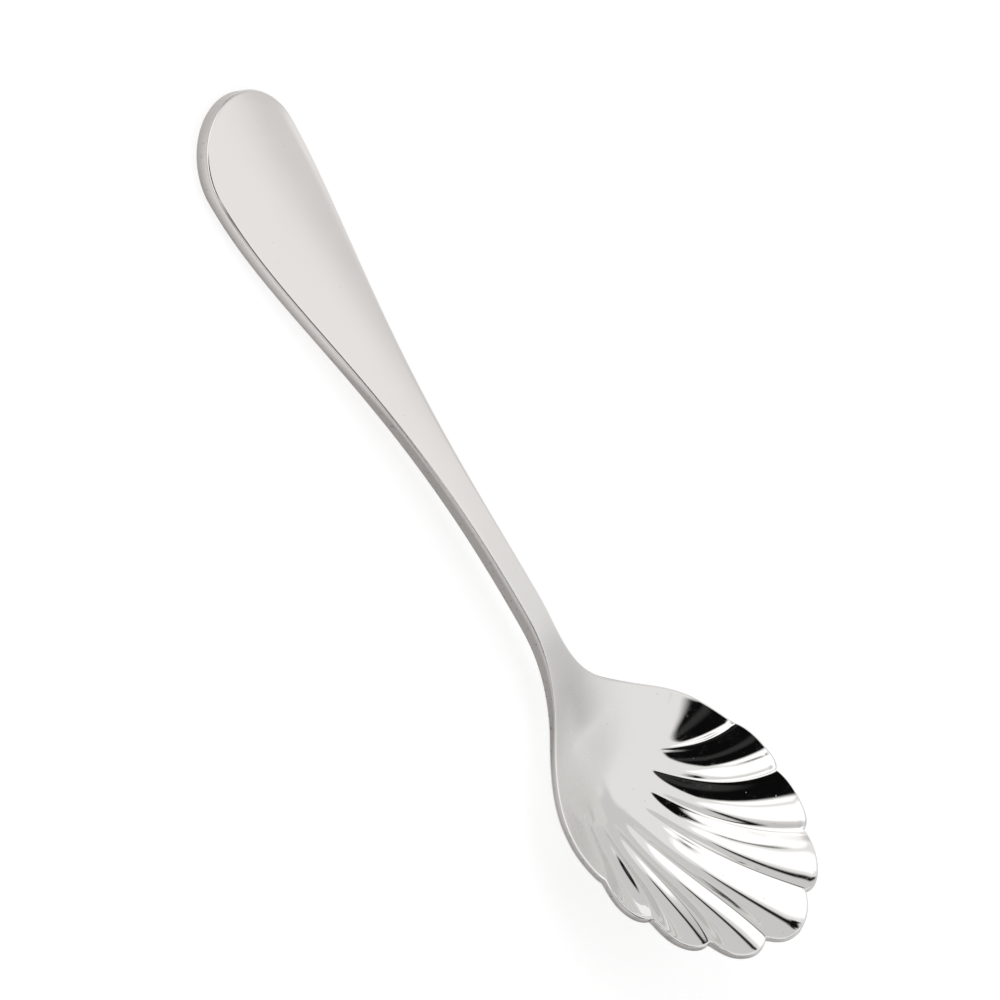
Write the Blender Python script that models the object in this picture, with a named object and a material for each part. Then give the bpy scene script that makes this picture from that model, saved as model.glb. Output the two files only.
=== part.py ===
"""Serving spoon with a shell bowl: a fluted bowl with a short tang, and a flat handle that meets it at the neck.

Metres, +Z up. The spoon lies at rest on z = 0. +X runs from the handle's end to the bowl's tip,
and y = 0 is its plane of symmetry. Each piece is a row of ribs, half cross-sections that run from the
plane of symmetry out over the edge and back underneath.
"""

import math
from collections import namedtuple

import bmesh
import bpy

MM = 0.001

# Bowl. Its own frame lies in the plane of the rim's notches: x from the heel to the tip, z out of the bowl.
BOWL_LENGTH = 45.6 * MM
BOWL_WIDTH = 38.5 * MM
BOWL_DEPTH = 8.15 * MM
BOWL_WALL = 1.1 * MM
BOWL_TILT = math.radians(23.05)

# Outline of the bowl's sides, from the tang to the first notch: width and how fast it widens.
HEEL_X = 2.5 * MM
HEEL_WIDTH = 14.55 * MM
HEEL_FLARE = 1.02
SHOULDER_X = 11.35 * MM
SHOULDER_WIDTH = 31.9 * MM
SHOULDER_FLARE = 0.72
NOTCH_FLARE = 0.1

# Height of the edge, and of the keel down the middle, along the same stretch: height and slope.
NECK_X = -2.0 * MM
NECK_EDGE = 3.2 * MM
NECK_EDGE_SLOPE = -0.62
NECK_KEEL = 2.7 * MM
NECK_KEEL_SLOPE = -0.8
THROAT_X = 6.0 * MM
THROAT_EDGE = -0.25 * MM
THROAT_EDGE_SLOPE = -0.2
THROAT_KEEL = -3.3 * MM
THROAT_KEEL_SLOPE = -0.52
DIP_X = 15.0 * MM
DIP_EDGE = -0.5 * MM
NOTCH_EDGE_SLOPE = 0.05
DEEPEST_X = 17.5 * MM
TIP_SLOPE = 0.4
SECTION_POWER = 1.6
SECTION_ROUNDING = 0.15

# Fluting. The flutes fan out from one point behind them, start at this distance from it and end in the rim's
# lobes. A shallow trough runs along the outer side of the outermost ridge.
SIDE_LOBES = 3
CENTRE_LOBE_ANGLE = math.radians(17.0)
SIDE_LOBE_ANGLE = math.radians(14.3)
FAN_X = 6.0 * MM
FLUTE_START = 12.5 * MM
FLUTE_DEPTH = 1.2 * MM
FLUTE_GROWTH = 3.0
FLUTE_SWEEP = math.radians(5.5)
SWEEP_START = 0.3
CENTRE_SCALLOP = 2.05 * MM
SIDE_SCALLOP = 1.4 * MM
LOBE_FULLNESS = 2.4
RIDGE_ROUNDING = 0.22
SIDE_TROUGH_START = 11.0 * MM
SIDE_TROUGH_RUN = 2.5 * MM
SIDE_TROUGH_DEPTH = 0.32 * MM
SIDE_TROUGH_FLANK = 0.45 * MM
SIDE_TROUGH_WIDTH = 7.0 * MM

# Tang, the bowl's own stub of the stem, up to the joint. Its thickness fades to the bowl's wall at WALL_X.
TANG_LENGTH = 13.0 * MM
TANG_RISE = 9.6 * MM
WALL_X = 3.5 * MM

# Handle. The stem's width and thickness are those of the tang.
HANDLE_LENGTH = 90.2 * MM
HANDLE_WIDTH = 21.1 * MM
HANDLE_THICKNESS = 2.4 * MM
HANDLE_CROWN = 0.45 * MM
STEM_WIDTH = 4.65 * MM
END_ROUND = 10.0 * MM
REST_LENGTH = 14.0 * MM
FLARE_POWER = 1.54
JOINT_GAP = 0.3 * MM

# Rounding of the edges: of the upper edge of the handle, and of the bowl's rim and all lower edges. Along the
# tang the upper edge's rounding follows the wall.
HANDLE_EDGE_RADIUS = 0.6 * MM
RIM_RADIUS = 0.28 * MM

# How finely the surfaces are divided.
TANG_RIBS = 12
SIDE_RIBS = 8
LOBE_RIBS = 8
BOWL_RINGS = 14
HANDLE_RIBS = 26
END_RIBS = 12
HANDLE_RINGS = 4
EDGE_STEPS = 3
SAME_POINT = 1e-6

STEEL_COLOUR = (0.80, 0.79, 0.77, 1.0)
STEEL_ROUGHNESS = 0.15

HALF_LENGTH = BOWL_LENGTH / 2
HALF_WIDTH = BOWL_WIDTH / 2
FAN_EDGE = CENTRE_LOBE_ANGLE / 2 + SIDE_LOBES * SIDE_LOBE_ANGLE

# A rib leaves the middle line at x, turned by angle from +X. reach is its length to the edge without
# the lobes, and full_reach its length to the edge itself.
Rib = namedtuple("Rib", "x angle reach full_reach")


def smoothstep(share):
    share = min(max(share, 0.0), 1.0)
    return share * share * (3 - 2 * share)


def curve_at(knots, x):
    """The smooth curve through knots of (x, value, slope), carried on straight past both ends."""
    if x <= knots[0][0] or x >= knots[-1][0]:
        end_x, value, slope = knots[0] if x <= knots[0][0] else knots[-1]
        return value + (x - end_x) * slope
    for (x0, v0, s0), (x1, v1, s1) in zip(knots, knots[1:]):
        if x <= x1:
            break
    span = x1 - x0
    t = (x - x0) / span
    value = v0 * (1 + 2 * t) * (1 - t) ** 2 + v1 * t * t * (3 - 2 * t)
    return value + span * (s0 * t * (1 - t) ** 2 - s1 * t * t * (1 - t))


def notch_reach(angle):
    """Distance from the fan's point to the ellipse through the notches."""
    offset = (FAN_X - HALF_LENGTH) / HALF_LENGTH
    along = math.cos(angle) / HALF_LENGTH
    across = math.sin(angle) / HALF_WIDTH
    a = along**2 + across**2
    b = along * offset
    return (math.sqrt(b * b - a * (offset**2 - 1)) - b) / a


NOTCH_X = FAN_X + notch_reach(FAN_EDGE) * math.cos(FAN_EDGE)
NOTCH_Y = notch_reach(FAN_EDGE) * math.sin(FAN_EDGE)

SIDE_LINE = (
    (-TANG_LENGTH, STEM_WIDTH / 2, 0.0),
    (HEEL_X, HEEL_WIDTH / 2, HEEL_FLARE),
    (SHOULDER_X, SHOULDER_WIDTH / 2, SHOULDER_FLARE),
    (NOTCH_X, NOTCH_Y, NOTCH_FLARE),
)
TANG_END = (-TANG_LENGTH, TANG_RISE, -math.tan(BOWL_TILT))
EDGE_LINE = (
    TANG_END,
    (NECK_X, NECK_EDGE, NECK_EDGE_SLOPE),
    (THROAT_X, THROAT_EDGE, THROAT_EDGE_SLOPE),
    (DIP_X, DIP_EDGE, 0.0),
    (NOTCH_X, 0.0, NOTCH_EDGE_SLOPE),
)
KEEL_LINE = (
    TANG_END,
    (NECK_X, NECK_KEEL, NECK_KEEL_SLOPE),
    (THROAT_X, THROAT_KEEL, THROAT_KEEL_SLOPE),
    (DEEPEST_X, -BOWL_DEPTH, 0.0),
    (BOWL_LENGTH, 0.0, TIP_SLOPE),
)


def half_width(x):
    """Half width of the bowl through its notches, and of the tang."""
    if x < NOTCH_X:
        return curve_at(SIDE_LINE, x)
    off_centre = (x - HALF_LENGTH) / HALF_LENGTH
    return HALF_WIDTH * math.sqrt(max(1 - off_centre**2, 0.0))


def section(share):
    """How far a cross-section has risen from keel to edge, at this share of its half width."""

    def raw(value):
        return (value * value + SECTION_ROUNDING**2) ** (SECTION_POWER / 2)

    return (raw(share) - raw(0)) / (raw(1) - raw(0))


def smooth_height(x, y):
    """Height of the bowl's inside without the flutes."""
    keel = curve_at(KEEL_LINE, x)
    edge = curve_at(EDGE_LINE, x) if x < NOTCH_X else 0.0
    return keel + (edge - keel) * section(y / max(half_width(x), SAME_POINT))


def smooth_normal(x, y):
    step = 0.02 * MM
    slope_x = (smooth_height(x, y) - smooth_height(x - step, y)) / step
    slope_y = (smooth_height(x, y + step) - smooth_height(x, y - step)) / (2 * step)
    length = math.sqrt(1 + slope_x**2 + slope_y**2)
    return -slope_x / length, -slope_y / length, 1 / length


def across_lobe(angle):
    """-1 to 1 from one notch of a lobe to the next."""
    from_centre = angle - CENTRE_LOBE_ANGLE / 2
    if from_centre < 0:
        return angle / (CENTRE_LOBE_ANGLE / 2)
    return 2 * (from_centre / SIDE_LOBE_ANGLE % 1.0) - 1


def scallop(angle):
    """How far the lobe's edge stands out past the notches: most at the tip, least at the sides."""
    full = CENTRE_SCALLOP + (SIDE_SCALLOP - CENTRE_SCALLOP) * angle / FAN_EDGE
    return full * (1 - abs(across_lobe(angle)) ** LOBE_FULLNESS)


def side_trough(angle, radius):
    """Depth of the trough beside the outermost ridge: steep at the ridge, fading out away from it."""
    beside = (angle - FAN_EDGE) * radius
    flank = 1 - math.exp(-beside / SIDE_TROUGH_FLANK)
    begun = smoothstep((radius - SIDE_TROUGH_START) / SIDE_TROUGH_RUN)
    return SIDE_TROUGH_DEPTH * flank * begun * (1 - smoothstep(beside / SIDE_TROUGH_WIDTH))


def flute_depth(rib, radius):
    if rib.angle >= FAN_EDGE:
        return side_trough(rib.angle, radius)
    trough = math.hypot(1 - across_lobe(rib.angle) ** 2, RIDGE_ROUNDING) - RIDGE_ROUNDING
    share = min(max((radius - FLUTE_START) / (rib.reach - FLUTE_START), 0.0), 1.0)
    return FLUTE_DEPTH * (1 - (1 - share) ** FLUTE_GROWTH) * trough


def swept_angle(rib, radius):
    """The rib's angle at this radius: the flutes bend outwards on their way to the rim."""
    share = min(max((radius / rib.full_reach - SWEEP_START) / (1 - SWEEP_START), 0.0), 1.0)
    return rib.angle - FLUTE_SWEEP * math.sin(2 * rib.angle) * 4 * share * (1 - share)


def wall_at(x):
    thin = smoothstep((x + TANG_LENGTH) / (WALL_X + TANG_LENGTH))
    return HANDLE_THICKNESS + (BOWL_WALL - HANDLE_THICKNESS) * thin


def bowl_surface(rib, radius):
    """Point on the bowl's inside, its normal, the direction out along the rib, and the wall under it."""
    angle = swept_angle(rib, radius)
    along, across = math.cos(angle), math.sin(angle)
    inside = min(radius, rib.reach)
    x, y = rib.x + inside * along, inside * across
    normal = smooth_normal(x, y)
    slope = -(normal[0] * along + normal[1] * across) / normal[2]
    beyond = radius - inside
    z = smooth_height(x, y) + slope * beyond - flute_depth(rib, radius)
    length = math.hypot(1, slope)
    outwards = (along / length, across / length, slope / length)
    return (x + beyond * along, y + beyond * across, z), normal, outwards, wall_at(x)


def bowl_ribs():
    """From the tang's end to the point of the fan, then round the fan to the tip."""
    ribs = []
    for step in range(TANG_RIBS):
        x = -TANG_LENGTH + (FAN_X + TANG_LENGTH) * step / TANG_RIBS
        ribs.append(Rib(x, math.pi / 2, half_width(x), half_width(x)))
    for step in range(SIDE_RIBS):
        x = FAN_X + (NOTCH_X - FAN_X) * step / SIDE_RIBS
        reach = math.hypot(x - FAN_X, half_width(x))
        ribs.append(Rib(FAN_X, math.atan2(half_width(x), x - FAN_X), reach, reach))
    steps = SIDE_LOBES * LOBE_RIBS
    angles = [FAN_EDGE - SIDE_LOBE_ANGLE * step / LOBE_RIBS for step in range(steps)]
    steps = LOBE_RIBS // 2
    angles += [CENTRE_LOBE_ANGLE / 2 * (1 - step / steps) for step in range(steps + 1)]
    for angle in angles:
        reach = notch_reach(angle)
        ribs.append(Rib(FAN_X, angle, reach, reach + scallop(angle)))
    return ribs


def handle_half_width(x):
    """Half width of the handle at this distance from its end, up to its rounded end."""
    from_joint = (HANDLE_LENGTH - x) / (HANDLE_LENGTH - END_ROUND)
    return (STEM_WIDTH + (HANDLE_WIDTH - STEM_WIDTH) * smoothstep(from_joint**FLARE_POWER)) / 2


def handle_ribs():
    """Round the handle's end, then along it to the joint."""
    ribs = []
    for step in range(END_RIBS):
        angle = math.pi * (1 - step / END_RIBS / 2)
        reach = 1 / math.hypot(math.cos(angle) / END_ROUND, 2 * math.sin(angle) / HANDLE_WIDTH)
        ribs.append(Rib(END_ROUND, angle, reach, reach))
    for step in range(HANDLE_RIBS + 1):
        x = END_ROUND + (HANDLE_LENGTH - JOINT_GAP - END_ROUND) * step / HANDLE_RIBS
        ribs.append(Rib(x, math.pi / 2, handle_half_width(x), handle_half_width(x)))
    return ribs


def handle_surface(joint_rise):
    """As bowl_surface, for a handle whose underside rises by joint_rise from its flat end to the joint."""

    def surface(rib, radius):
        along, across = math.cos(rib.angle), math.sin(rib.angle)
        x, y = rib.x + radius * along, radius * across
        low = joint_rise * smoothstep((x - REST_LENGTH) / (HANDLE_LENGTH - REST_LENGTH))
        width_share = (2 * handle_half_width(rib.x) - STEM_WIDTH) / (HANDLE_WIDTH - STEM_WIDTH)
        crown = HANDLE_CROWN * width_share * (1 - (radius / rib.reach) ** 2)
        point = (x, y, low + HANDLE_THICKNESS + crown)
        return point, (0.0, 0.0, 1.0), (along, across, 0.0), HANDLE_THICKNESS + crown

    return surface


def moved(point, *moves):
    """The point after moves of (distance, direction)."""
    return tuple(p + sum(far * way[axis] for far, way in moves) for axis, p in enumerate(point))


def edge_radius(wall):
    """Rounding of the upper edge of a wall this thick."""
    thick = (wall - BOWL_WALL) / (HANDLE_THICKNESS - BOWL_WALL)
    return RIM_RADIUS + (HANDLE_EDGE_RADIUS - RIM_RADIUS) * thick


def rib_points(rib, surface, rings):
    """From the middle of the rib's top, out over its rounded edge, and back to the middle of its underside."""
    corner, normal, outwards, wall = surface(rib, rib.full_reach)
    rounding = edge_radius(wall)
    top, under = [], []
    for ring in range(rings):
        point, up, _, thickness = surface(rib, (rib.full_reach - rounding) * ring / rings)
        top.append(point)
        under.append(moved(point, (-thickness, up)))
    for step in range(EDGE_STEPS + 1):
        turn = math.pi / 2 * step / EDGE_STEPS
        back, down = math.sin(turn) - 1, 1 - math.cos(turn)
        top.append(moved(corner, (rounding * back, outwards), (-rounding * down, normal)))
        under.append(moved(corner, (RIM_RADIUS * back, outwards), (RIM_RADIUS * down - wall, normal)))
    return top + under[::-1]


def mesh_half(rows, cap):
    """The half body through rows of rib points, closed with a flat face at the row numbered cap."""
    shape = bmesh.new()
    grid = [[shape.verts.new(point) for point in row] for row in rows]
    for first, second in zip(grid, grid[1:]):
        for k in range(len(first) - 1):
            shape.faces.new((first[k], second[k], second[k + 1], first[k + 1]))
    row = grid[cap] if cap == 0 else grid[cap][::-1]
    for k in range(len(row) // 2 - 1):
        shape.faces.new((row[k], row[k + 1], row[-2 - k], row[-1 - k]))
    bmesh.ops.remove_doubles(shape, verts=shape.verts, dist=SAME_POINT)
    return shape


def steel(name):
    material = bpy.data.materials.new(name)
    material.use_nodes = True
    shader = material.node_tree.nodes["Principled BSDF"]
    shader.inputs["Base Color"].default_value = STEEL_COLOUR
    shader.inputs["Metallic"].default_value = 1.0
    shader.inputs["Roughness"].default_value = STEEL_ROUGHNESS
    return material


def mirrored_object(name, shape):
    """An object made of this half and its mirror image across y = 0."""
    mesh = bpy.data.meshes.new(name)
    shape.to_mesh(mesh)
    shape.free()
    mesh.shade_smooth()
    mesh.set_sharp_from_angle(angle=math.radians(40))
    mesh.materials.append(steel(name + "_steel"))
    piece = bpy.data.objects.new(name, mesh)
    bpy.context.collection.objects.link(piece)
    mirror = piece.modifiers.new("symmetry", "MIRROR")
    mirror.use_axis = (False, True, False)
    mirror.merge_threshold = SAME_POINT * 10
    return piece


def at_rest(point):
    """x and z of a point of the bowl once it is tilted as it lies."""
    x, _, z = point
    sine, cosine = math.sin(BOWL_TILT), math.cos(BOWL_TILT)
    return x * cosine - z * sine, x * sine + z * cosine


def build():
    for old in list(bpy.data.objects):
        bpy.data.objects.remove(old)
    rows = [rib_points(rib, bowl_surface, BOWL_RINGS) for rib in bowl_ribs()]
    tilted = [at_rest(point) for row in rows for point in row]
    lowest = min(z for _, z in tilted)
    tip_x = max(x for x, _ in tilted)
    joint_x, joint_z = at_rest((-TANG_LENGTH, 0.0, TANG_RISE))
    end_x = -(HANDLE_LENGTH + tip_x - joint_x) / 2

    bowl = mirrored_object("bowl", mesh_half(rows, 0))
    bowl.rotation_euler = (0.0, -BOWL_TILT, 0.0)
    bowl.location = (end_x + HANDLE_LENGTH - joint_x, 0.0, -lowest)

    surface = handle_surface(joint_z - lowest - HANDLE_THICKNESS)
    rows = [rib_points(rib, surface, HANDLE_RINGS) for rib in handle_ribs()]
    handle = mirrored_object("handle", mesh_half(rows, -1))
    handle.location = (end_x, 0.0, 0.0)


build()
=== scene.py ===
import math
from collections import namedtuple

import bmesh
import bpy
from mathutils import Matrix, Vector


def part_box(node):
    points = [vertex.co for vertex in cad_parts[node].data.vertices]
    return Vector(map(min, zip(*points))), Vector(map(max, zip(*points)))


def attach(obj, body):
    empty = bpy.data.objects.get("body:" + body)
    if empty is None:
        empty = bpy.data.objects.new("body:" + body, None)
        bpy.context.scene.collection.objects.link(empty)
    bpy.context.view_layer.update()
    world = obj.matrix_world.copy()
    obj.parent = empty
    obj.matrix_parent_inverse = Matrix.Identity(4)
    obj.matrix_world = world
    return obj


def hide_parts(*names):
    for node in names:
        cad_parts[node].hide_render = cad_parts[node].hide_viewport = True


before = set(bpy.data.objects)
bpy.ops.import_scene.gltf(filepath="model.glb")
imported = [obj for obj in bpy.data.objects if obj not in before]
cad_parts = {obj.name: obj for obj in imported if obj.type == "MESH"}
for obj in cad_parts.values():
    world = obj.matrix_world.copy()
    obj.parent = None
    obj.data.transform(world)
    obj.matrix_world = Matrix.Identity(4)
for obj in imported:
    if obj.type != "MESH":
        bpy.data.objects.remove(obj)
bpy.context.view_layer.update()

MM = 0.001

# Bowl. Its own frame lies in the plane of the rim's notches: x from the heel to the tip, z out of the bowl.
BOWL_LENGTH = 45.6 * MM
BOWL_WIDTH = 38.5 * MM
BOWL_DEPTH = 8.15 * MM
BOWL_WALL = 1.1 * MM
BOWL_TILT = math.radians(23.05)

# Outline of the bowl's sides, from the tang to the first notch: width and how fast it widens.
HEEL_X = 2.5 * MM
HEEL_WIDTH = 14.55 * MM
HEEL_FLARE = 1.02
SHOULDER_X = 11.35 * MM
SHOULDER_WIDTH = 31.9 * MM
SHOULDER_FLARE = 0.72
NOTCH_FLARE = 0.1

# Height of the edge, and of the keel down the middle, along the same stretch: height and slope.
NECK_X = -2.0 * MM
NECK_EDGE = 3.2 * MM
NECK_EDGE_SLOPE = -0.62
NECK_KEEL = 2.7 * MM
NECK_KEEL_SLOPE = -0.8
THROAT_X = 6.0 * MM
THROAT_EDGE = -0.25 * MM
THROAT_EDGE_SLOPE = -0.2
THROAT_KEEL = -3.3 * MM
THROAT_KEEL_SLOPE = -0.52
DIP_X = 15.0 * MM
DIP_EDGE = -0.5 * MM
NOTCH_EDGE_SLOPE = 0.05
DEEPEST_X = 17.5 * MM
TIP_SLOPE = 0.4
SECTION_POWER = 1.6
SECTION_ROUNDING = 0.15

# Fluting. The flutes fan out from one point behind them, start at this distance from it and end in the rim's
# lobes. A shallow trough runs along the outer side of the outermost ridge.
SIDE_LOBES = 3
CENTRE_LOBE_ANGLE = math.radians(17.0)
SIDE_LOBE_ANGLE = math.radians(14.3)
FAN_X = 6.0 * MM
FLUTE_START = 12.5 * MM
FLUTE_DEPTH = 1.2 * MM
FLUTE_GROWTH = 3.0
FLUTE_SWEEP = math.radians(5.5)
SWEEP_START = 0.3
CENTRE_SCALLOP = 2.05 * MM
SIDE_SCALLOP = 1.4 * MM
LOBE_FULLNESS = 2.4
RIDGE_ROUNDING = 0.22
SIDE_TROUGH_START = 11.0 * MM
SIDE_TROUGH_RUN = 2.5 * MM
SIDE_TROUGH_DEPTH = 0.32 * MM
SIDE_TROUGH_FLANK = 0.45 * MM
SIDE_TROUGH_WIDTH = 7.0 * MM

# Tang, the bowl's own stub of the stem, up to the joint. Its thickness fades to the bowl's wall at WALL_X.
TANG_LENGTH = 13.0 * MM
TANG_RISE = 9.6 * MM
WALL_X = 3.5 * MM

# Handle. The stem's width and thickness are those of the tang.
HANDLE_LENGTH = 90.2 * MM
HANDLE_WIDTH = 21.1 * MM
HANDLE_THICKNESS = 2.4 * MM
HANDLE_CROWN = 0.45 * MM
STEM_WIDTH = 4.65 * MM
END_ROUND = 10.0 * MM
REST_LENGTH = 14.0 * MM
FLARE_POWER = 1.54

# Rounding of the edges: of the upper edge of the handle, and of the bowl's rim and all lower edges. Along the
# tang the upper edge's rounding follows the wall.
HANDLE_EDGE_RADIUS = 0.6 * MM
RIM_RADIUS = 0.28 * MM

# How finely the surfaces are divided, the step over which slopes are taken, how near points are merged, and
# the angle from which a fold is shaded as sharp.
TANG_RIBS = 60
SIDE_RIBS = 32
LOBE_RIBS = 24
BOWL_RINGS = 72
HANDLE_RIBS = 110
END_RIBS = 48
HANDLE_RINGS = 14
EDGE_STEPS = 8
SLOPE_STEP = 0.02 * MM
SAME_POINT = 1e-6
MIRROR_MERGE = 1e-5
SHARP_ANGLE = math.radians(60)

# Steel: bright on the bowl and on the handle, duller on walls left unpolished after shearing and darkened
# there as painted shade, for the shaded floor that they reflect; dark in their pits.
BOWL_STEEL = (0.80, 0.79, 0.775, 1.0)
HANDLE_STEEL = (0.845, 0.811, 0.787, 1.0)
SHEARED_STEEL_IN_SHADE = (0.36, 0.34, 0.33, 1.0)
PITTED_STEEL = (0.20, 0.19, 0.18, 1.0)

# How far the edges are dulled and darkened as painted shade, kept in a layer of the mesh: 1 at the foot of a
# wall, WALL_TOP_SHADE at its top, so that the wall is painted darker towards its foot, and END_DULL_AND_SHADE
# at the very end of the handle. Away from that end the first POLISHED_TURN of the rounding stays polished.
EDGE_LAYER = "edge"
WALL_TOP_SHADE = 0.45
END_DULL_AND_SHADE = 0.7
POLISHED_TURN = 0.5

# Roughness of the handle, the satin heel, the mirror-like flutes and sheared walls. Scratches and dust show
# only where the steel is smoother than they are. Specks add their roughness, and darken by SPECK_SHADE.
HANDLE_ROUGHNESS = 0.14
SATIN_ROUGHNESS = 0.30
MIRROR_ROUGHNESS = 0.04
SHEARED_ROUGHNESS = (0.38, 0.5)
SCRATCH_ROUGHNESS = 0.12
DUST_ROUGHNESS = 0.18
SPECK_ROUGHNESS = 0.35
SPECK_SHADE = 0.4

# Where one finish turns into the next along the spoon, in millimetres: the handle's into the heel's, and the
# walls of the handle into those of the stem, STEM_DULL_AND_SHADE times as dulled and as darkened by painted
# shade, and on into the rim's.
HANDLE_FINISH_END = -20.0
HEEL_FINISH_START = 32.0
STEM_DULL_AND_SHADE_START = -38.0
STEM_DULL_AND_SHADE_FULL = -14.0
STEM_DULL_AND_SHADE_END = 28.0
RIM_START = 37.0
STEM_DULL_AND_SHADE = 2.0
RIM_DULL_AND_SHADE = 0.9

# Where satin turns into mirror-like, in millimetres out from the heel. Across the bowl, from WORN_END to
# WORN_SIDE, these distances come to count for only WORN_REACH, so that the satin reaches further there.
SATIN_END = 7.0
MIRROR_START = 13.0
WORN_SIDE = -14.0
WORN_END = -5.0
WORN_REACH = 0.5

# Marks in the steel: how closely they lie, per millimetre, and the low and high values of the noise or
# distance between which each fades. Scratches are drawn out by their scales after a turn, and show where the
# waves are high.
SMUDGE_SCALE = 0.13
SMUDGE_SPAN = (0.3, 0.7)
SMUDGE_EFFECT = (0.88, 1.15)
WAVE_SCALE = 0.45
PIT_SCALE = 2.2
PIT_ROUGH_SPAN = (0.35, 0.65)
PIT_DARK_SPAN = (0.30, 0.42)
SPECK_SCALE = 0.4
SPECK_SPAN = (0.02, 0.05)
DUST_SCALE = 1.6
DUST_SPAN = (0.06, 0.14)
LONG_SCRATCHES = {"scale": (0.12, 2.6, 0.0), "turn": (0.0, 0.0, 0.9)}
CROSS_SCRATCHES = {"scale": (2.2, 0.16, 0.0), "turn": (0.0, 0.0, 0.2)}
SCRATCH_WIDTH = 0.05
SCRATCHED_SPAN = (0.45, 0.6)
SWELL_HEIGHT = 0.003 * MM
PIT_DEPTH = 0.008 * MM

# Camera: where it stands from the spoon, which way is up in the picture, the point at the picture's centre,
# and the width of the view there. The sensor is in millimetres.
CAMERA_SIDE = Vector((-0.37152678, -0.64893071, 0.66397047))
CAMERA_UP = Vector((-0.80594817, 0.58044451, 0.11632588))
CAMERA_AIM = Vector((-0.355, 5.456, 5.425)) * MM
CAMERA_DISTANCE = 6.0
VIEW_WIDTH = 143.785 * MM
SENSOR_WIDTH = 36.0
NEAREST_SEEN = 0.1
FARTHEST_SEEN = 20.0

# Floor: how far it reaches, how far it lies under the spoon, its own grey, and what lifts it to white.
FLOOR_REACH = 4.0
FLOOR_GAP = 0.02 * MM
FLOOR_GREY = (0.5, 0.5, 0.5, 1.0)
FLOOR_ROUGHNESS = 0.9
FLOOR_LIFT = 0.64
WHITE = (1.0, 1.0, 1.0, 1.0)

# Brightness of the surround: overhead, at the horizon, low on the far side, ahead, of the panels and the gap
# between them, and of the dark screens and the chink in them.
OVERHEAD = 0.93
HORIZON = 0.45
FAR = 0.70
DUSK = 0.58
PANEL = 1.3
PANEL_GAP = 0.25
SCREEN = 0.004
CHINK = 0.035

# Directions out from the spoon: ahead is past the bowl's tip, and near is towards the camera.
AHEAD, BACK = (1.0, 0.0, 0.0), (-1.0, 0.0, 0.0)
LEFT, RIGHT = (0.0, 1.0, 0.0), (0.0, -1.0, 0.0)
UP, DOWN = (0.0, 0.0, 1.0), (0.0, 0.0, -1.0)
CORNER, FROM_CORNER = (-0.651, -0.759, 0.0), (0.651, 0.759, 0.0)
NEAR_SIDE = (-0.268, -0.963, 0.0)

# What stands around the spoon. Each thing takes up the directions past all of its sides. A side is a
# direction, how far along it the side lies, and how softly it begins.
SKY_SIDE = (UP, 0.25, 0.25)
FAR_SIDES = ((LEFT, 0.67, 0.05), (DOWN, -0.68, 0.06))
GLOW_SIDES = ((AHEAD, 0.33, 0.04), (DOWN, -0.54, 0.04), (LEFT, 0.5, 0.05))
DUSK_SIDES = ((AHEAD, 0.545, 0.06), (LEFT, 0.33, 0.08))
PANELS = (
    ((BACK, 0.68, 0.03), (RIGHT, -0.5, 0.05), (UP, 0.36, 0.05)),
    ((BACK, 0.58, 0.03), (LEFT, -0.1, 0.04), (RIGHT, -0.44, 0.05), (UP, 0.36, 0.05)),
    ((BACK, 0.48, 0.03), (LEFT, -0.38, 0.04), (RIGHT, 0.16, 0.03), (UP, 0.5, 0.06)),
    ((CORNER, 0.535, 0.02), (RIGHT, 0.32, 0.04), (UP, 0.5, 0.06)),
)
GAP_SIDES = ((BACK, 0.60, 0.03), (AHEAD, -0.66, 0.03), (LEFT, -0.26, 0.03), (RIGHT, 0.17, 0.03))
MAIN_SCREEN = (
    (NEAR_SIDE, 0.24, 0.05),
    (LEFT, -0.69, 0.03),
    (AHEAD, -0.45, 0.04),
    (FROM_CORNER, -0.64, 0.03),
    (BACK, -0.335, 0.03),
    (UP, 0.5, 0.08),
)
SIDE_SCREEN = (
    (RIGHT, 0.57, 0.05),
    (LEFT, -0.69, 0.03),
    (AHEAD, -0.1, 0.03),
    (BACK, -0.335, 0.03),
    (UP, 0.3, 0.05),
)
STRIP_SCREEN = ((RIGHT, 0.22, 0.04), (LEFT, -0.6, 0.05), (AHEAD, 0.38, 0.02), (BACK, -0.65, 0.03))
NARROW_SCREEN = ((RIGHT, 0.5, 0.04), (AHEAD, 0.4, 0.02), (BACK, -0.46, 0.02))
BACK_SCREEN = ((BACK, 0.60, 0.03), (AHEAD, -0.68, 0.03), (LEFT, 0.6, 0.03))
SCREENS = (MAIN_SCREEN, SIDE_SCREEN, STRIP_SCREEN, NARROW_SCREEN, BACK_SCREEN)
CHINK_SIDES = ((AHEAD, -0.11, 0.05), (BACK, -0.04, 0.05))

HALF_LENGTH = BOWL_LENGTH / 2
HALF_WIDTH = BOWL_WIDTH / 2
FAN_EDGE = CENTRE_LOBE_ANGLE / 2 + SIDE_LOBES * SIDE_LOBE_ANGLE

# A rib leaves the middle line at x, turned by angle from +X. reach is its length to the edge without
# the lobes, and full_reach its length to the edge itself.
Rib = namedtuple("Rib", "x angle reach full_reach")


def smoothstep(share):
    share = min(max(share, 0.0), 1.0)
    return share * share * (3 - 2 * share)


def curve_at(knots, x):
    """The smooth curve through knots of (x, value, slope), carried on straight past both ends."""
    if x <= knots[0][0] or x >= knots[-1][0]:
        end_x, value, slope = knots[0] if x <= knots[0][0] else knots[-1]
        return value + (x - end_x) * slope
    for (x0, v0, s0), (x1, v1, s1) in zip(knots, knots[1:]):
        if x <= x1:
            break
    span = x1 - x0
    t = (x - x0) / span
    value = v0 * (1 + 2 * t) * (1 - t) ** 2 + v1 * t * t * (3 - 2 * t)
    return value + span * (s0 * t * (1 - t) ** 2 - s1 * t * t * (1 - t))


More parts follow.
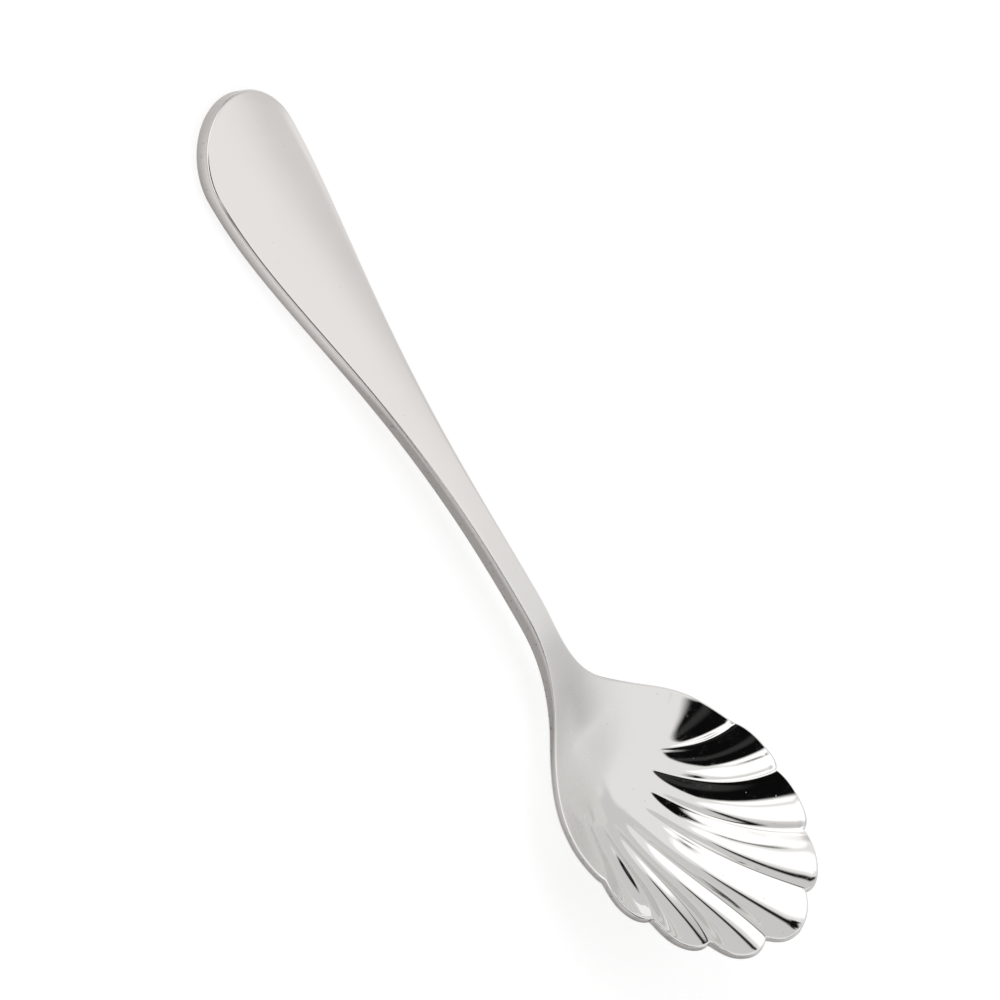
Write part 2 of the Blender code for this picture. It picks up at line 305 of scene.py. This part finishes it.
def notch_reach(angle):
    """Distance from the fan's point to the ellipse through the notches."""
    offset = (FAN_X - HALF_LENGTH) / HALF_LENGTH
    along = math.cos(angle) / HALF_LENGTH
    across = math.sin(angle) / HALF_WIDTH
    a = along**2 + across**2
    b = along * offset
    return (math.sqrt(b * b - a * (offset**2 - 1)) - b) / a


NOTCH_X = FAN_X + notch_reach(FAN_EDGE) * math.cos(FAN_EDGE)
NOTCH_Y = notch_reach(FAN_EDGE) * math.sin(FAN_EDGE)

SIDE_LINE = (
    (-TANG_LENGTH, STEM_WIDTH / 2, 0.0),
    (HEEL_X, HEEL_WIDTH / 2, HEEL_FLARE),
    (SHOULDER_X, SHOULDER_WIDTH / 2, SHOULDER_FLARE),
    (NOTCH_X, NOTCH_Y, NOTCH_FLARE),
)
TANG_END = (-TANG_LENGTH, TANG_RISE, -math.tan(BOWL_TILT))
EDGE_LINE = (
    TANG_END,
    (NECK_X, NECK_EDGE, NECK_EDGE_SLOPE),
    (THROAT_X, THROAT_EDGE, THROAT_EDGE_SLOPE),
    (DIP_X, DIP_EDGE, 0.0),
    (NOTCH_X, 0.0, NOTCH_EDGE_SLOPE),
)
KEEL_LINE = (
    TANG_END,
    (NECK_X, NECK_KEEL, NECK_KEEL_SLOPE),
    (THROAT_X, THROAT_KEEL, THROAT_KEEL_SLOPE),
    (DEEPEST_X, -BOWL_DEPTH, 0.0),
    (BOWL_LENGTH, 0.0, TIP_SLOPE),
)


def half_width(x):
    """Half width of the bowl through its notches, and of the tang."""
    if x < NOTCH_X:
        return curve_at(SIDE_LINE, x)
    off_centre = (x - HALF_LENGTH) / HALF_LENGTH
    return HALF_WIDTH * math.sqrt(max(1 - off_centre**2, 0.0))


def section(share):
    """How far a cross-section has risen from keel to edge, at this share of its half width."""

    def raw(value):
        return (value * value + SECTION_ROUNDING**2) ** (SECTION_POWER / 2)

    return (raw(share) - raw(0)) / (raw(1) - raw(0))


def smooth_height(x, y):
    """Height of the bowl's inside without the flutes."""
    keel = curve_at(KEEL_LINE, x)
    edge = curve_at(EDGE_LINE, x) if x < NOTCH_X else 0.0
    return keel + (edge - keel) * section(y / max(half_width(x), SAME_POINT))


def smooth_normal(x, y):
    """Normal of the bowl's inside without the flutes."""
    step = SLOPE_STEP
    slope_x = (smooth_height(x, y) - smooth_height(x - step, y)) / step
    slope_y = (smooth_height(x, y + step) - smooth_height(x, y - step)) / (2 * step)
    length = math.sqrt(1 + slope_x**2 + slope_y**2)
    return -slope_x / length, -slope_y / length, 1 / length


def across_lobe(angle):
    """-1 to 1 from one notch of a lobe to the next."""
    from_centre = angle - CENTRE_LOBE_ANGLE / 2
    if from_centre < 0:
        return angle / (CENTRE_LOBE_ANGLE / 2)
    return 2 * (from_centre / SIDE_LOBE_ANGLE % 1.0) - 1


def scallop(angle):
    """How far the lobe's edge stands out past the notches: most at the tip, least at the sides."""
    full = CENTRE_SCALLOP + (SIDE_SCALLOP - CENTRE_SCALLOP) * angle / FAN_EDGE
    return full * (1 - abs(across_lobe(angle)) ** LOBE_FULLNESS)


def side_trough(angle, radius):
    """Depth of the shallow trough beside the outermost ridge: steep at the ridge, fading out away from it."""
    beside = (angle - FAN_EDGE) * radius
    flank = 1 - math.exp(-beside / SIDE_TROUGH_FLANK)
    begun = smoothstep((radius - SIDE_TROUGH_START) / SIDE_TROUGH_RUN)
    return SIDE_TROUGH_DEPTH * flank * begun * (1 - smoothstep(beside / SIDE_TROUGH_WIDTH))


def flute_depth(rib, radius):
    """Depth of the flute, or of the trough beside the flutes, at this radius of a rib."""
    if rib.angle >= FAN_EDGE:
        return side_trough(rib.angle, radius)
    trough = math.hypot(1 - across_lobe(rib.angle) ** 2, RIDGE_ROUNDING) - RIDGE_ROUNDING
    share = min(max((radius - FLUTE_START) / (rib.reach - FLUTE_START), 0.0), 1.0)
    return FLUTE_DEPTH * (1 - (1 - share) ** FLUTE_GROWTH) * trough


def swept_angle(rib, radius):
    """The rib's angle at this radius: the flutes bend outwards on their way to the rim."""
    share = min(max((radius / rib.full_reach - SWEEP_START) / (1 - SWEEP_START), 0.0), 1.0)
    return rib.angle - FLUTE_SWEEP * math.sin(2 * rib.angle) * 4 * share * (1 - share)


def wall_at(x):
    """Thickness of the tang and of the bowl's wall."""
    thin = smoothstep((x + TANG_LENGTH) / (WALL_X + TANG_LENGTH))
    return HANDLE_THICKNESS + (BOWL_WALL - HANDLE_THICKNESS) * thin


def bowl_surface(rib, radius):
    """Point on the bowl's inside, its normal, the direction out along the rib, and the wall under it."""
    angle = swept_angle(rib, radius)
    along, across = math.cos(angle), math.sin(angle)
    inside = min(radius, rib.reach)
    x, y = rib.x + inside * along, inside * across
    normal = smooth_normal(x, y)
    slope = -(normal[0] * along + normal[1] * across) / normal[2]
    beyond = radius - inside
    z = smooth_height(x, y) + slope * beyond - flute_depth(rib, radius)
    length = math.hypot(1, slope)
    outwards = (along / length, across / length, slope / length)
    return (x + beyond * along, y + beyond * across, z), normal, outwards, wall_at(x)


def bowl_ribs():
    """From the tang's end to the point of the fan, then round the fan to the tip."""
    ribs = []
    for step in range(TANG_RIBS):
        x = -TANG_LENGTH + (FAN_X + TANG_LENGTH) * step / TANG_RIBS
        ribs.append(Rib(x, math.pi / 2, half_width(x), half_width(x)))
    for step in range(SIDE_RIBS):
        x = FAN_X + (NOTCH_X - FAN_X) * step / SIDE_RIBS
        reach = math.hypot(x - FAN_X, half_width(x))
        ribs.append(Rib(FAN_X, math.atan2(half_width(x), x - FAN_X), reach, reach))
    steps = SIDE_LOBES * LOBE_RIBS
    angles = [FAN_EDGE - SIDE_LOBE_ANGLE * step / LOBE_RIBS for step in range(steps)]
    steps = LOBE_RIBS // 2
    angles += [CENTRE_LOBE_ANGLE / 2 * (1 - step / steps) for step in range(steps + 1)]
    for angle in angles:
        reach = notch_reach(angle)
        ribs.append(Rib(FAN_X, angle, reach, reach + scallop(angle)))
    return ribs


def handle_half_width(x):
    """Half width of the handle at this distance from its end, up to its rounded end."""
    from_joint = (HANDLE_LENGTH - x) / (HANDLE_LENGTH - END_ROUND)
    return (STEM_WIDTH + (HANDLE_WIDTH - STEM_WIDTH) * smoothstep(from_joint**FLARE_POWER)) / 2


def handle_ribs():
    """Round the handle's end, then along it to the joint."""
    ribs = []
    for step in range(END_RIBS):
        angle = math.pi * (1 - step / END_RIBS / 2)
        reach = 1 / math.hypot(math.cos(angle) / END_ROUND, 2 * math.sin(angle) / HANDLE_WIDTH)
        ribs.append(Rib(END_ROUND, angle, reach, reach))
    for step in range(HANDLE_RIBS + 1):
        x = END_ROUND + (HANDLE_LENGTH - END_ROUND) * step / HANDLE_RIBS
        ribs.append(Rib(x, math.pi / 2, handle_half_width(x), handle_half_width(x)))
    return ribs


def handle_surface(joint_rise):
    """As bowl_surface, for a handle whose underside rises by joint_rise from its flat end to the joint."""

    def surface(rib, radius):
        along, across = math.cos(rib.angle), math.sin(rib.angle)
        x, y = rib.x + radius * along, radius * across
        low = joint_rise * smoothstep((x - REST_LENGTH) / (HANDLE_LENGTH - REST_LENGTH))
        width_share = (2 * handle_half_width(rib.x) - STEM_WIDTH) / (HANDLE_WIDTH - STEM_WIDTH)
        crown = HANDLE_CROWN * width_share * (1 - (radius / rib.reach) ** 2)
        point = (x, y, low + HANDLE_THICKNESS + crown)
        return point, (0.0, 0.0, 1.0), (along, across, 0.0), HANDLE_THICKNESS + crown

    return surface


def moved(point, *moves):
    """The point after moves of (distance, direction)."""
    return tuple(p + sum(far * way[axis] for far, way in moves) for axis, p in enumerate(point))


def edge_radius(wall):
    """Rounding of the upper edge of a wall this thick."""
    thick = (wall - BOWL_WALL) / (HANDLE_THICKNESS - BOWL_WALL)
    return RIM_RADIUS + (HANDLE_EDGE_RADIUS - RIM_RADIUS) * thick


def rib_points(rib, surface, rings):
    """From the middle of the rib's top, out over its rounded edge, and back to its underside's middle."""
    corner, normal, outwards, wall = surface(rib, rib.full_reach)
    rounding = edge_radius(wall)
    top, under = [], []
    for ring in range(rings):
        point, up, _, thickness = surface(rib, (rib.full_reach - rounding) * ring / rings)
        top.append(point)
        under.append(moved(point, (-thickness, up)))
    for step in range(EDGE_STEPS + 1):
        turn = math.pi / 2 * step / EDGE_STEPS
        back, down = math.sin(turn) - 1, 1 - math.cos(turn)
        top.append(moved(corner, (rounding * back, outwards), (-rounding * down, normal)))
        under.append(moved(corner, (RIM_RADIUS * back, outwards), (RIM_RADIUS * down - wall, normal)))
    return top + under[::-1]


def edge_dullness_and_shade(rib, place, rings):
    """How far the edge is dulled and darkened as painted shade at this place along a rib: 0 on the faces, and
    most at the wall's foot.
    """
    last = 2 * (rings + EDGE_STEPS) + 1
    round_end = smoothstep(2 * rib.angle / math.pi - 1)
    # Painted shade: the wall's colour is darkest at its foot, lighter at its top and at the handle's end.
    most = WALL_TOP_SHADE if 2 * place < last else 1.0
    most += (END_DULL_AND_SHADE - most) * round_end
    turned = (min(place, last - place) - rings) / EDGE_STEPS
    polished = POLISHED_TURN * (1 - round_end)
    return most * smoothstep((turned - polished) / (1 - polished))


def mesh_half(ribs, rows, rings, cap):
    """The half body through rows of rib points, closed with a flat face at the row numbered cap."""
    shape = bmesh.new()
    weight = shape.verts.layers.float.new(EDGE_LAYER)
    grid = [[shape.verts.new(point) for point in row] for row in rows]
    for rib, row in zip(ribs, grid):
        for place, vert in enumerate(row):
            vert[weight] = edge_dullness_and_shade(rib, place, rings)
    for first, second in zip(grid, grid[1:]):
        for k in range(len(first) - 1):
            shape.faces.new((first[k], second[k], second[k + 1], first[k + 1]))
    row = grid[cap] if cap == 0 else grid[cap][::-1]
    for k in range(len(row) // 2 - 1):
        shape.faces.new((row[k], row[k + 1], row[-2 - k], row[-1 - k]))
    bmesh.ops.remove_doubles(shape, verts=shape.verts, dist=SAME_POINT)
    return shape


def mirrored_object(name, shape, place, material):
    """An object made of this half, put in its place, and its mirror image across y = 0."""
    mesh = bpy.data.meshes.new(name)
    shape.to_mesh(mesh)
    shape.free()
    mesh.transform(place)
    mesh.shade_smooth()
    mesh.set_sharp_from_angle(angle=SHARP_ANGLE)
    mesh.materials.append(material)
    piece = bpy.data.objects.new(name, mesh)
    bpy.context.collection.objects.link(piece)
    mirror = piece.modifiers.new("symmetry", "MIRROR")
    mirror.use_axis = (False, True, False)
    mirror.merge_threshold = MIRROR_MERGE
    return piece


def at_rest(point):
    """x and z of a point of the bowl once it is tilted as it lies."""
    x, _, z = point
    sine, cosine = math.sin(BOWL_TILT), math.cos(BOWL_TILT)
    return x * cosine - z * sine, x * sine + z * cosine


class Nodes:
    """Short calls that add nodes to one tree. Those that make a value return the new node's output."""

    def __init__(self, tree):
        self.tree = tree

    def add(self, kind, inputs, output=0, **settings):
        node = self.tree.nodes.new(kind)
        for name, value in settings.items():
            setattr(node, name, value)
        for name, value in inputs.items():
            if isinstance(value, bpy.types.NodeSocket):
                self.tree.links.new(value, node.inputs[name])
            else:
                node.inputs[name].default_value = value
        return node.outputs[output]

    def link(self, value, socket):
        self.tree.links.new(value, socket)

    def math(self, operation, a, b=0.0):
        return self.add("ShaderNodeMath", {0: a, 1: b}, operation=operation)

    def joined(self, operation, values):
        """All the values, joined one after another by the operation."""
        result = values[0]
        for value in values[1:]:
            result = self.math(operation, result, value)
        return result

    def ramp(self, value, low, high, to_low=0.0, to_high=1.0):
        """Smoothly from to_low to to_high as value goes from low to high."""
        inputs = {"Value": value, "From Min": low, "From Max": high, "To Min": to_low, "To Max": to_high}
        return self.add("ShaderNodeMapRange", inputs, interpolation_type="SMOOTHSTEP")

    def noise(self, place, scale, detail=2.0, distortion=0.0):
        inputs = {"Vector": place, "Scale": scale, "Detail": detail, "Distortion": distortion}
        return self.add("ShaderNodeTexNoise", inputs)

    def spots(self, place, scale, small, large):
        """Scattered round spots, 1 up to the distance small from their middles and 0 from large."""
        distance = self.add("ShaderNodeTexVoronoi", {"Vector": place, "Scale": scale})
        return self.ramp(distance, small, large, 1.0, 0.0)

    def stretched(self, place, scale, turn):
        """The place turned and then scaled along each axis."""
        inputs = {"Vector": place, "Rotation": turn}
        turned = self.add("ShaderNodeMapping", inputs, vector_type="TEXTURE")
        return self.add("ShaderNodeMapping", {"Vector": turned, "Scale": scale})

    def hairlines(self, place, width, scale, turn):
        """Thin lines, 1 along their middles, where a drawn-out noise crosses its middle value."""
        noise = self.noise(self.stretched(place, scale, turn), 1.0, detail=0.0)
        from_middle = self.math("ABSOLUTE", self.math("SUBTRACT", noise, 0.5))
        return self.ramp(from_middle, 0.0, width, 1.0, 0.0)

    def mix_colour(self, share, first, second):
        inputs = {"Factor": share, 6: first, 7: second}
        return self.add("ShaderNodeMix", inputs, output=2, data_type="RGBA")

    def mix(self, share, first, second):
        return self.add("ShaderNodeMix", {"Factor": share, 2: first, 3: second})


def new_material(name):
    """A new material, the calls that add nodes to it, and its shader."""
    material = bpy.data.materials.new(name)
    material.use_nodes = True
    return material, Nodes(material.node_tree), material.node_tree.nodes["Principled BSDF"]


def distance_from_heel(nodes, x, y, heel_share, heel):
    """Millimetres ahead of and beside the point heel, 0 along the handle, and shortened on the worn side."""
    ahead = nodes.math("MAXIMUM", nodes.math("SUBTRACT", x, heel.x / MM), 0.0)
    beside = nodes.math("MULTIPLY", y, heel_share)
    off = nodes.add("ShaderNodeCombineXYZ", {"X": ahead, "Y": beside})
    distance = nodes.add("ShaderNodeVectorMath", {0: off}, output=1, operation="LENGTH")
    return nodes.math("MULTIPLY", distance, nodes.ramp(y, WORN_SIDE, WORN_END, WORN_REACH, 1.0))


def sheared_and_shaded_share(nodes, x):
    """How far the steel is that of a wall left from shearing, with its colour darkened as painted shade."""
    wall = nodes.add("ShaderNodeAttribute", {}, output=2, attribute_name=EDGE_LAYER)
    # Along the stem and the rim this also sets how darkly the walls are painted with shade.
    stem = nodes.ramp(x, STEM_DULL_AND_SHADE_START, STEM_DULL_AND_SHADE_FULL, 1.0, STEM_DULL_AND_SHADE)
    rim = nodes.ramp(x, STEM_DULL_AND_SHADE_END, RIM_START, 1.0, RIM_DULL_AND_SHADE / STEM_DULL_AND_SHADE)
    dullness_and_shade = nodes.math("MULTIPLY", stem, rim)
    return nodes.math("MINIMUM", nodes.math("MULTIPLY", wall, dullness_and_shade), 1.0)


def scratched_share(nodes, place, waves):
    """1 along fine scratches that cross each other and come and go with the waves."""
    along = nodes.hairlines(place, SCRATCH_WIDTH, **LONG_SCRATCHES)
    across = nodes.hairlines(place, SCRATCH_WIDTH, **CROSS_SCRATCHES)
    return nodes.math("MULTIPLY", nodes.math("MAXIMUM", along, across), nodes.ramp(waves, *SCRATCHED_SPAN))


def polish_roughness(nodes, place, waves, heel_share, from_heel):
    """Roughness of the polished steel with its smudges, scratches and dust."""
    polish = nodes.mix(heel_share, HANDLE_ROUGHNESS, SATIN_ROUGHNESS)
    polish = nodes.mix(nodes.ramp(from_heel, SATIN_END, MIRROR_START), polish, MIRROR_ROUGHNESS)
    smudge = nodes.noise(place, SMUDGE_SCALE, detail=3.0, distortion=0.4)
    polish = nodes.math("MULTIPLY", polish, nodes.ramp(smudge, *SMUDGE_SPAN, *SMUDGE_EFFECT))
    scratches = scratched_share(nodes, place, waves)
    polish = nodes.math("MAXIMUM", polish, nodes.math("MULTIPLY", scratches, SCRATCH_ROUGHNESS))
    dust = nodes.spots(place, DUST_SCALE, *DUST_SPAN)
    return nodes.math("MAXIMUM", polish, nodes.math("MULTIPLY", dust, DUST_ROUGHNESS))


def steel(name, heel):
    """Polished steel, warm on the handle, satin round the point heel and mirror-like in the flutes. Its walls
    are rough and pitted from shearing, and their colour is darkened as painted shade.
    """
    material, nodes, shader = new_material(name)
    shader.inputs["Metallic"].default_value = 1.0

    object_place = nodes.add("ShaderNodeTexCoord", {}, output=3)
    place = nodes.add("ShaderNodeMapping", {"Vector": object_place, "Scale": (1 / MM,) * 3})
    x = nodes.add("ShaderNodeSeparateXYZ", {0: place}, output=0)
    y = nodes.add("ShaderNodeSeparateXYZ", {0: place}, output=1)
    heel_share = nodes.ramp(x, HANDLE_FINISH_END, HEEL_FINISH_START)
    from_heel = distance_from_heel(nodes, x, y, heel_share, heel)
    sheared_and_shaded = sheared_and_shaded_share(nodes, x)
    waves = nodes.noise(place, WAVE_SCALE)
    pits = nodes.noise(place, PIT_SCALE, detail=4.0)
    specks = nodes.spots(place, SPECK_SCALE, *SPECK_SPAN)

    polish = polish_roughness(nodes, place, waves, heel_share, from_heel)
    polish = nodes.math("ADD", polish, nodes.math("MULTIPLY", specks, SPECK_ROUGHNESS))
    roughness = nodes.mix(sheared_and_shaded, polish, nodes.ramp(pits, *PIT_ROUGH_SPAN, *SHEARED_ROUGHNESS))
    nodes.link(roughness, shader.inputs["Roughness"])

    bright = nodes.mix_colour(heel_share, HANDLE_STEEL, BOWL_STEEL)
    # The walls' darker colour is painted shade, standing in for the shaded floor that they reflect.
    dull_and_shaded = nodes.mix_colour(nodes.ramp(pits, *PIT_DARK_SPAN), PITTED_STEEL, SHEARED_STEEL_IN_SHADE)
    shade = nodes.mix_colour(sheared_and_shaded, bright, dull_and_shaded)
    shade = nodes.mix_colour(nodes.math("MULTIPLY", specks, SPECK_SHADE), shade, PITTED_STEEL)
    nodes.link(shade, shader.inputs["Base Color"])

    swell = nodes.add("ShaderNodeBump", {"Strength": 1.0, "Distance": SWELL_HEIGHT, "Height": waves})
    inputs = {"Strength": sheared_and_shaded, "Distance": PIT_DEPTH, "Height": pits, "Normal": swell}
    nodes.link(nodes.add("ShaderNodeBump", inputs), shader.inputs["Normal"])
    return material


def build_spoon():
    """The bowl, tilted and resting on its lowest point, and the handle from its own end up to the tang."""
    ribs = bowl_ribs()
    rows = [rib_points(rib, bowl_surface, BOWL_RINGS) for rib in ribs]
    lowest = min(at_rest(point)[1] for row in rows for point in row)
    joint_x, joint_z = at_rest((-TANG_LENGTH, 0.0, TANG_RISE))
    end_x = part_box("handle")[0][0]

    tilt = Matrix.Rotation(-BOWL_TILT, 4, "Y")
    place = Matrix.Translation((end_x + HANDLE_LENGTH - joint_x, 0.0, -lowest)) @ tilt
    heel = place @ Vector((FAN_X, 0.0, 0.0))
    shape = mesh_half(ribs, rows, BOWL_RINGS, 0)
    bowl = mirrored_object("bowl_body", shape, place, steel("bowl_finish", heel))

    surface = handle_surface(joint_z - lowest - HANDLE_THICKNESS)
    ribs = handle_ribs()
    rows = [rib_points(rib, surface, HANDLE_RINGS) for rib in ribs]
    shape = mesh_half(ribs, rows, HANDLE_RINGS, -1)
    place = Matrix.Translation((end_x, 0.0, 0.0))
    handle = mirrored_object("handle_body", shape, place, steel("handle_finish", heel))

    bpy.context.view_layer.update()
    for piece, node, slot in ((bowl, "bowl", "bowl_steel"), (handle, "handle", "handle_steel")):
        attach(piece, "root")
        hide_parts(node)


def floor_white():
    """A pale material, lifted to white where it is seen straight or in the steel; it keeps its shadow."""
    material, nodes, shader = new_material("floor_white")
    shader.inputs["Base Color"].default_value = FLOOR_GREY
    shader.inputs["Roughness"].default_value = FLOOR_ROUGHNESS
    shader.inputs["Emission Color"].default_value = WHITE
    path = nodes.tree.nodes.new("ShaderNodeLightPath")
    rays = ("Is Camera Ray", "Is Glossy Ray", "Is Transmission Ray")
    seen = nodes.joined("ADD", [path.outputs[ray] for ray in rays])
    nodes.link(nodes.math("MULTIPLY", seen, FLOOR_LIFT), shader.inputs["Emission Strength"])
    return material


def build_stage():
    """A wide pale floor just under the spoon."""
    mesh = bpy.data.meshes.new("floor")
    shape = bmesh.new()
    below = Matrix.Translation((0.0, 0.0, -FLOOR_GAP))
    bmesh.ops.create_grid(shape, x_segments=1, y_segments=1, size=FLOOR_REACH, matrix=below)
    shape.to_mesh(mesh)
    shape.free()
    mesh.materials.append(floor_white())
    floor = bpy.data.objects.new("floor", mesh)
    bpy.context.collection.objects.link(floor)


class Surround:
    """Shares of the directions around the spoon, from 0 to 1, as nodes of the world."""

    def __init__(self, nodes):
        self.nodes = nodes
        self.way = nodes.add("ShaderNodeTexCoord", {}, output=0)

    def beyond(self, direction, limit, soft):
        """1 past the limit along direction, fading to 0 over soft on either side of it."""
        inputs = {0: self.way, 1: direction}
        along = self.nodes.add("ShaderNodeVectorMath", inputs, output=1, operation="DOT_PRODUCT")
        return self.nodes.ramp(along, limit - soft, limit + soft)

    def within(self, sides):
        """1 past every one of the sides."""
        return self.nodes.joined("MULTIPLY", [self.beyond(*side) for side in sides])

    def in_any(self, things):
        """1 within any one of the things."""
        return self.nodes.joined("MAXIMUM", [self.within(sides) for sides in things])


def build_light():
    """Soft light from all round, dimmer low down and ahead, with bright panels and dark screens in it."""
    world = bpy.data.worlds.new("studio")
    bpy.context.scene.world = world
    world.use_nodes = True
    nodes = Nodes(world.node_tree)
    surround = Surround(nodes)
    layers = (
        (surround.within(FAR_SIDES), FAR),
        (surround.within(GLOW_SIDES), OVERHEAD),
        (surround.within(DUSK_SIDES), DUSK),
        (surround.in_any(PANELS), PANEL),
        (surround.within(GAP_SIDES), PANEL_GAP),
        (surround.in_any(SCREENS), nodes.mix(surround.within(CHINK_SIDES), SCREEN, CHINK)),
    )
    level = nodes.mix(surround.beyond(*SKY_SIDE), HORIZON, OVERHEAD)
    for share, brightness in layers:
        level = nodes.mix(share, level, brightness)
    background = world.node_tree.nodes["Background"]
    background.inputs["Color"].default_value = WHITE
    nodes.link(level, background.inputs["Strength"])


def build_camera():
    """A camera far off with a long lens, so that the view is nearly parallel."""
    data = bpy.data.cameras.new("camera")
    camera = bpy.data.objects.new("camera", data)
    bpy.context.collection.objects.link(camera)
    right = CAMERA_UP.cross(CAMERA_SIDE).normalized()
    up = CAMERA_SIDE.cross(right).normalized()
    outwards = CAMERA_SIDE.normalized()
    turn = Matrix((right, up, outwards)).transposed().to_4x4()
    camera.matrix_world = Matrix.Translation(CAMERA_AIM + outwards * CAMERA_DISTANCE) @ turn
    data.sensor_width = SENSOR_WIDTH
    data.lens = SENSOR_WIDTH * CAMERA_DISTANCE / VIEW_WIDTH
    data.clip_start = NEAREST_SEEN
    data.clip_end = FARTHEST_SEEN
    bpy.context.scene.camera = camera


build_spoon()
build_stage()
build_light()
build_camera()
bpy.context.scene.view_settings.view_transform = "Standard"
